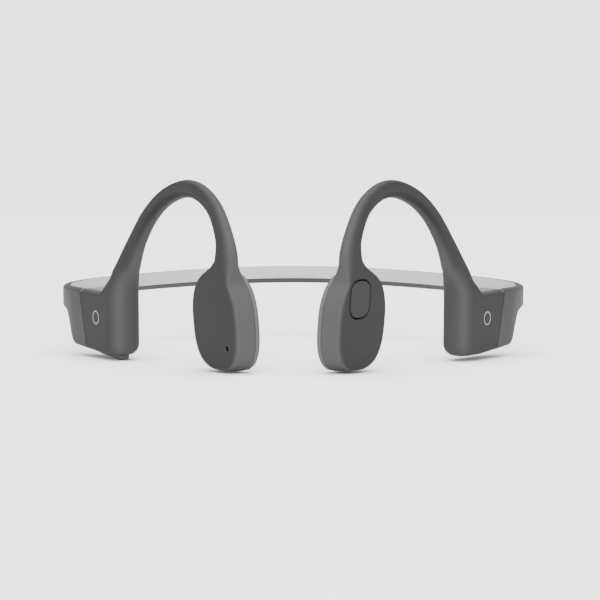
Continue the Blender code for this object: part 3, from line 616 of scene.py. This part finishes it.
def band_ring(side, s):
    """Section of the light skin: the housing's at the seam, then a ribbon with a ridge on its inner side.

    A fine line runs along its top between the rounded outer side and the inner side."""
    t = float(smooth(SEAM_TOP, END_LENGTH - 6, s))
    lean = SEAM_LEAN * (1 - float(smooth(SEAM_TOP, SEAM_TOP + 12, s)))
    top, depth = mix(RIM_Z, BAND_TOP, t) - dip(s), float(end_depth(s))
    foot = foot_z(side, s - lean * (RIM_Z - FOOT_Z[side])) - dip(s)
    ridge = mix(9.0, RIDGE_Z - dip(s), t)
    line = mix(-2.2, -2.0, t)
    groove = 0.32 * (1 - float(smooth(42, 62, s))) + 0.004
    corners = [(0, top), (line + 0.12, top), (line + 0.06, top - groove), (line - 0.1, top - groove),
               (line - 0.16, top), (-depth + 0.55 * t, top), (-depth - 0.1, ridge), (-depth + 1.9 * t, foot),
               (0, foot)]
    outer = mix(1.3, 1.85, float(smooth(SEAM_TOP, 25, s)))
    radii = [outer, 0.1, 0.05, 0.05, 0.1, mix(0.9, 0.35, t), 0.2, mix(0.9, 0.3, t), mix(0.9, 0.3, t)]
    ring = rounded(corners, radii, 6)
    return [on_band(s - lean * (RIM_Z - z) + SEAM_GAP, r, z) for r, z in ring]


def band_painted_shade():
    """Painted shade round one section: darkest in the groove along the top, dark on the outer side and on
    the strip below the ridge, which faces down, lighter along the top, and none on the facet above the ridge,
    on the inner side, which is the palest.
    """
    steps = 7                       # points of each rounded corner
    corner = [MOULD_PAINTED_SHADE, MOULD_PAINTED_SHADE, HOLE_PAINTED_SHADE, HOLE_PAINTED_SHADE, LEDGE_PAINTED_SHADE * 0.4, 0.0, 0.0, MOULD_PAINTED_SHADE,
              MOULD_PAINTED_SHADE]
    ring = np.repeat(corner, steps)
    top = 5 * steps
    # painted shade, lighter than the outer side's, along the top's inner edge
    ring[top:top + 3] = LEDGE_PAINTED_SHADE * 0.5
    # painted shade on the strip below the ridge, which faces down
    ring[6 * steps + 4:7 * steps] = MOULD_PAINTED_SHADE
    return ring


def band_places():
    moulding = np.linspace(SEAM_TOP, 34, 40)
    bend = np.linspace(34, END_LENGTH, 19)[1:]
    back = np.linspace(END_LENGTH, BAND.length, 86)[1:]
    return np.concatenate([moulding, bend, back])


def neckband_skin():
    places = band_places()
    right = [band_ring("right", s) for s in places]
    left = [band_ring("left", s) for s in places]
    mirrored = [[(-x, y, z) for x, y, z in ring] for ring in right]
    rings = mirrored[:-1] + left[::-1]
    return loft("neckband_skin", rings, tone=[band_painted_shade()] * len(rings))


def band_lead(name, z, start, radius):
    places = np.concatenate([np.linspace(start, END_LENGTH, 30),
                             np.linspace(END_LENGTH, BAND.length, 60)[1:]])
    half = []
    for s in places:
        circle = oval(radius, radius, (-float(end_depth(s)) / 2, z - dip(s)), 2, 16)
        half.append([on_band(s, r, h) for r, h in circle])
    mirrored = [[(-x, y, h) for x, y, h in ring] for ring in half]
    return loft(name, mirrored[:-1] + half[::-1])


# Pads, buttons and marks

def even_tone(rings, value):
    return [np.full(len(ring), value) for ring in rings]


def pod_pad(side):
    """Soft pad with a rounded edge and a slight dome."""
    back, height = -POD_HALF_DEPTH - 0.12, (POD_TOP - POD_FOOT) / 2
    steps = [(0, 0.75), (0, 0.3), (0.12, 0.15), (PAD_DEPTH - 0.75, 0.1), (PAD_DEPTH - 0.4, 0.25),
             (PAD_DEPTH - 0.16, 0.6), (PAD_DEPTH - 0.03, 1.1), (PAD_DEPTH + 0.05, 1.7),
             (PAD_DEPTH + 0.12, 3.0), (PAD_DEPTH + 0.15, 5.2)]
    rings = []
    for out, less in steps:
        outline = oval(POD_HALF_WIDTH - less, height - less, (POD_SHIFT, POD_MIDDLE))
        rings.append(on_pod(outline, back - out))
    return loft(f"{side}_pad", rings, SIDES[side], sharp=60, tone=even_tone(rings, PAD_TONE))


def multifunction_button():
    """Oblong key with a soft edge and a shallow dish."""
    def ring(less, b):
        return on_pod(stadium(BUTTON, BUTTON_HALF[0] - less, BUTTON_HALF[1] - less, BUTTON_ROUND - less), b)

    profile = [(2.4, BUTTON_BACK), (0, BUTTON_BACK), (0, BUTTON_FACE - 0.35), (0.05, 3.35), (0.16, 3.47),
               (0.32, 3.52), (0.55, 3.52), (0.9, 3.48), (1.6, 3.43), (2.6, 3.41)]
    rings = [ring(less, b) for less, b in profile]
    return loft("multifunction_key", rings, sharp=60, tone=even_tone(rings, BUTTON_TONE))


def microphone_port():
    """The lined hole that the microphone hears through."""
    def ring(grow, b):
        return on_pod(oval(0.4 + grow, 0.62 + grow, MICROPHONE, 2, 32), b)

    face = MICROPHONE_FACE
    rings = [ring(0.04, face - 1.2), ring(0.2, face - 1.2), ring(0.2, face - 0.25), ring(0.16, face - 0.2),
             ring(0.12, face - 0.2), ring(0.08, face - 0.3), ring(0.02, face - 0.6), ring(-0.05, face - 0.8)]
    return loft("microphone_port", rings, -1, sharp=60)


def below(outline, h):
    return np.array([on_band(s, r, h + FOOT_RISE * s) for s, r in outline])


def volume_pieces():
    """The strip under the right housing, with its two keys."""
    middle, half = (VOLUME_START + VOLUME_END) / 2, (VOLUME_END - VOLUME_START) / 2

    def strip(less, h):
        return below(stadium((middle, VOLUME_R), half - less, VOLUME_HALF_WIDTH - less, 1.7 - less), h)

    foot = VOLUME_FOOT
    rings = [strip(0.3, 1.9), strip(0, 1.7), strip(0, foot + 0.4), strip(0.05, foot + 0.2),
             strip(0.18, foot + 0.06), strip(0.35, foot), strip(0.6, foot)]
    bezel = loft("volume_strip", rings, -1, sharp=60)
    for name, (start, end) in VOLUME_BUTTONS.items():
        window = stadium(((start + end) / 2, VOLUME_R), (end - start) / 2 + WINDOW_GAP, 1.13, 1.1)
        cutter = loft(f"cutter_{name}", [below(window, h) for h in (-3, WINDOW_TOP)], -1)
        hole = bezel.modifiers.new(name, "BOOLEAN")
        hole.operation, hole.solver, hole.object = "DIFFERENCE", "EXACT", cutter
        bpy.context.view_layer.objects.active = bezel
        bpy.ops.object.modifier_apply(modifier=name)
        bpy.data.objects.remove(cutter, do_unlink=True)
    keys = []
    for name, (start, end) in VOLUME_BUTTONS.items():
        def key(less, h):
            round_end = KEY_HALF_WIDTH - less
            place = ((start + end) / 2, VOLUME_R)
            return below(stadium(place, (end - start) / 2 - less, round_end, round_end), h)

        rings = [key(0.3, 0.5), key(0, 0.4), key(0, foot + 0.42), key(0.06, foot + 0.25),
                 key(0.2, foot + 0.15), key(0.4, foot + 0.12)]
        keys.append(loft(f"{name}_key", rings, -1, sharp=60))
    return bezel, keys


def side_mark(side):
    """A plain printed ring on the outer face of the housing."""
    outer, inner = (oval(radius, radius, MARK, 2, 64) for radius in MARK_RADII)
    rings = [[on_band(s, r, z) for s, z in ring] for ring, r in
             ((inner, 0.0), (inner, MARK_THICK), (outer, MARK_THICK), (outer, 0.0))]
    return loft(f"{side}_mark", rings, SIDES[side], ends=False)


# Materials

def surface_finish(name, colour, roughness, metallic=0.0, grain=900.0, bump=0.04, mottle=0.05,
                   stretch=(1, 1, 1), specular=0.5):
    """A Principled material with fine grain in its height, colour and gloss."""
    made = bpy.data.materials.new(name)
    made.use_nodes = True
    nodes, links = made.node_tree.nodes, made.node_tree.links
    shader = nodes["Principled BSDF"]
    shader.inputs["Metallic"].default_value = metallic
    shader.inputs["Specular IOR Level"].default_value = specular
    place = nodes.new("ShaderNodeTexCoord")
    scale = nodes.new("ShaderNodeMapping")
    scale.inputs["Scale"].default_value = stretch
    links.new(place.outputs["Object"], scale.inputs["Vector"])
    fine = nodes.new("ShaderNodeTexNoise")
    fine.inputs["Scale"].default_value = grain * 4
    fine.inputs["Detail"].default_value = 3
    broad = nodes.new("ShaderNodeTexNoise")
    broad.inputs["Scale"].default_value = grain / 10
    broad.inputs["Detail"].default_value = 2
    for noise in (fine, broad):
        links.new(scale.outputs["Vector"], noise.inputs["Vector"])
    patches = nodes.new("ShaderNodeMapRange")
    patches.inputs["To Min"].default_value = 1 - mottle
    patches.inputs["To Max"].default_value = 1 + mottle
    links.new(broad.outputs["Fac"], patches.inputs["Value"])
    # The tone attribute scales the colour: painted light and shade on the skins, and the pad's and key's own
    # darker colour
    painted = nodes.new("ShaderNodeAttribute")
    painted.attribute_name = "tone"
    depth = nodes.new("ShaderNodeMath")
    depth.operation = "ADD"
    depth.inputs[1].default_value = 1
    links.new(painted.outputs["Fac"], depth.inputs[0])
    shade = nodes.new("ShaderNodeMath")
    shade.operation = "MULTIPLY"
    links.new(patches.outputs["Result"], shade.inputs[0])
    links.new(depth.outputs["Value"], shade.inputs[1])
    paint = nodes.new("ShaderNodeVectorMath")
    paint.operation = "SCALE"
    paint.inputs[0].default_value = colour
    links.new(shade.outputs["Value"], paint.inputs["Scale"])
    links.new(paint.outputs["Vector"], shader.inputs["Base Color"])
    gloss = nodes.new("ShaderNodeMapRange")
    gloss.inputs["To Min"].default_value = roughness - 0.05
    gloss.inputs["To Max"].default_value = roughness + 0.05
    links.new(fine.outputs["Fac"], gloss.inputs["Value"])
    links.new(gloss.outputs["Result"], shader.inputs["Roughness"])
    height = nodes.new("ShaderNodeBump")
    height.inputs["Strength"].default_value = bump
    height.inputs["Distance"].default_value = 0.0001
    links.new(fine.outputs["Fac"], height.inputs["Height"])
    links.new(height.outputs["Normal"], shader.inputs["Normal"])
    return made


FINISHES = {
    "dark_silicone": surface_finish("dark_skin", (0.055, 0.055, 0.056), 0.56, specular=0.06),
    "light_silicone": surface_finish("light_skin", (0.38, 0.38, 0.386), 0.5, specular=0.08),
    "dark_plastic": surface_finish("dark_plastic_finish", (0.046, 0.046, 0.047), 0.46, bump=0.08,
                                   specular=0.12),
    "black_plastic": surface_finish("black_plastic_finish", (0.006, 0.006, 0.006), 0.5, bump=0.08,
                                    specular=0.08),
    "steel": surface_finish("steel_finish", (0.55, 0.56, 0.57), 0.34, 1, bump=0.1, stretch=(1, 6, 1)),
    "magnet": surface_finish("magnet_finish", (0.62, 0.61, 0.6), 0.24, 1),
    "copper": surface_finish("copper_finish", (0.72, 0.35, 0.18), 0.35, 1, bump=0.1, stretch=(1, 1, 5)),
    "gold": surface_finish("gold_finish", (0.83, 0.62, 0.3), 0.27, 1),
    "titanium": surface_finish("titanium_finish", (0.5, 0.48, 0.46), 0.4, 1),
    "circuit_board": surface_finish("circuit_board_finish", (0.02, 0.1, 0.05), 0.42, mottle=0.3, grain=2500),
    "battery_foil": surface_finish("battery_foil_finish", (0.72, 0.73, 0.75), 0.33, 0.6, mottle=0.1),
    "light_guide": surface_finish("light_guide_finish", (0.8, 0.8, 0.78), 0.16),
}
PRINT = surface_finish("printed_mark", (0.24, 0.24, 0.245), 0.5, specular=0.1)


def dress(made, body, slot, *nodes, finish=None):
    """Gives a piece its material and the body it moves with, and hides the CAD nodes it stands for."""
    made.data.materials.clear()
    made.data.materials.append(finish or FINISHES[slot])
    if body:
        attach(made, body)
    if nodes:
        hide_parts(*nodes)
    return made


slots = {part["node"]: part["material_slot"] for part in frame["record"]["subparts"]}
for node_name, node in frame["nodes"].items():
    for index in range(len(node.material_slots)):
        node.material_slots[index].material = FINISHES[slots[node_name]]

FINE = 0.24              # side of the cubes that the skins are found on
ARM_BOX = (5, -45, -1), (64, 18, 50.5)
COVER_BOX = (38, -4, -1), (64, 21, 19)
for side in SIDES:
    half = f"{side}_half"
    points, faces, outward = surface(arm_field(side), *ARM_BOX, FINE)
    arm = piece(f"{side}_arm_skin", points, faces, SIDES[side], sharp=0, tone=arm_painted_shade(points, outward, side))
    dress(arm, half, "dark_silicone", f"{side}_pod_shell", f"{side}_ear_hook", f"{side}_housing_shell")
    points, faces, outward = surface(cover_field(side), *COVER_BOX, FINE)
    cover = piece(f"{side}_inner_cover", points, faces, SIDES[side], sharp=0, tone=cover_painted_shade(outward))
    dress(cover, half, "light_silicone", f"{side}_housing_cover")
    dress(pod_pad(side), half, "light_silicone", f"{side}_pod_pad")
    dress(side_mark(side), half, "dark_plastic", finish=PRINT)

skin = dress(neckband_skin(), None, "light_silicone", "right_neckband_end", "left_neckband_end",
             "right_neckband_sleeve", "left_neckband_sleeve")
wire = dress(band_lead("neckband_wire", SPRING_WIRE_Z, SEAM_TOP + 1.5, LEAD_RADIUS), None, "titanium",
             "neckband_spring_wire")
cable = dress(band_lead("neckband_lead", CABLE_Z, SEAM_TOP - 4.0, LEAD_RADIUS), None, "copper",
              "neckband_cable")
for made in (skin, wire, cable):
    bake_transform(made)

dress(multifunction_button(), "multifunction_button", "dark_silicone", "multifunction_button")
dress(microphone_port(), "right_half", "black_plastic")
bezel, keys = volume_pieces()
dress(bezel, "right_half", "dark_plastic", "volume_button_bezel")
for key, name in zip(keys, VOLUME_BUTTONS):
    dress(key, f"{name}_button", "dark_plastic", f"{name}_button")


# Floor, light and camera

def tilt(vector):
    c, s = math.cos(STAND_TIP), math.sin(STAND_TIP)
    x, y, z = vector
    return np.array((x, y * c - z * s, y * s + z * c))


FLOOR_REACH, FLOOR_DROP, FLOOR_GREY = 6, 0.0002, 0.93
ROOM_LIGHT, BACKDROP_LIGHT = 0.95, 3.6
LIGHTS = [("top_light", 86, 70, 6.4), ("front_light", 27, 40, 3.6)]     # height, spread and strength
CAMERA_RISE, CAMERA_TURN, CAMERA_DISTANCE = math.radians(6), math.radians(1), 480
CAMERA_TARGET, LENS, LENS_SHIFT = (0, 20, 13.2), 100.6, 0.013


def studio():
    reach = FLOOR_REACH
    floor_mesh = bpy.data.meshes.new("floor")
    floor_mesh.from_pydata([(-reach, -reach, 0), (reach, -reach, 0), (reach, reach, 0), (-reach, reach, 0)],
                           [], [(0, 1, 2, 3)])
    floor = bpy.data.objects.new("floor", floor_mesh)
    floor.location.z = -FLOOR_DROP
    bpy.context.scene.collection.objects.link(floor)
    pale = bpy.data.materials.new("pale_floor")
    pale.use_nodes = True
    shader = pale.node_tree.nodes["Principled BSDF"]
    shader.inputs["Base Color"].default_value = (FLOOR_GREY, FLOOR_GREY, FLOOR_GREY, 1)
    shader.inputs["Roughness"].default_value = 0.8
    floor_mesh.materials.append(pale)

    world = bpy.data.worlds.new("studio")
    world.use_nodes = True
    nodes, links = world.node_tree.nodes, world.node_tree.links
    soft = nodes["Background"]
    soft.inputs["Color"].default_value = (1, 1, 1, 1)
    soft.inputs["Strength"].default_value = ROOM_LIGHT
    backdrop = nodes.new("ShaderNodeBackground")    # the pale ground behind the headset, which lights nothing
    backdrop.inputs["Strength"].default_value = BACKDROP_LIGHT
    seen = nodes.new("ShaderNodeLightPath")
    both = nodes.new("ShaderNodeMixShader")
    links.new(seen.outputs["Is Camera Ray"], both.inputs[0])
    links.new(soft.outputs["Background"], both.inputs[1])
    links.new(backdrop.outputs["Background"], both.inputs[2])
    links.new(both.outputs["Shader"], nodes["World Output"].inputs["Surface"])
    bpy.context.scene.world = world

    for name, height, spread, strength in LIGHTS:
        light = bpy.data.lights.new(name, "SUN")
        light.angle = math.radians(spread)
        light.energy = strength
        lamp = bpy.data.objects.new(name, light)
        lamp.rotation_euler.x = math.radians(90 - height)
        bpy.context.scene.collection.objects.link(lamp)


def camera():
    """One long lens in front of the headset, a little above it."""
    up, turn = CAMERA_RISE, CAMERA_TURN
    back = np.array((math.sin(turn) * math.cos(up), -math.cos(turn) * math.cos(up), math.sin(up)))
    right = np.cross(-back, (0, 0, 1))
    right /= np.linalg.norm(right)
    lens = bpy.data.cameras.new("camera")
    lens.lens, lens.sensor_width = LENS, 36
    lens.shift_x = LENS_SHIFT
    lens.clip_start, lens.clip_end = 0.01, 50
    made = bpy.data.objects.new("camera", lens)
    axes = [tilt(right), tilt(np.cross(back, right)), tilt(back)]
    matrix = np.eye(4)
    for column, axis in enumerate(axes):
        matrix[:3, column] = axis
    matrix[:3, 3] = stand(np.array(CAMERA_TARGET) + back * CAMERA_DISTANCE)
    made.matrix_world = Matrix(matrix.tolist())
    bpy.context.scene.collection.objects.link(made)
    bpy.context.scene.camera = made


studio()
camera()
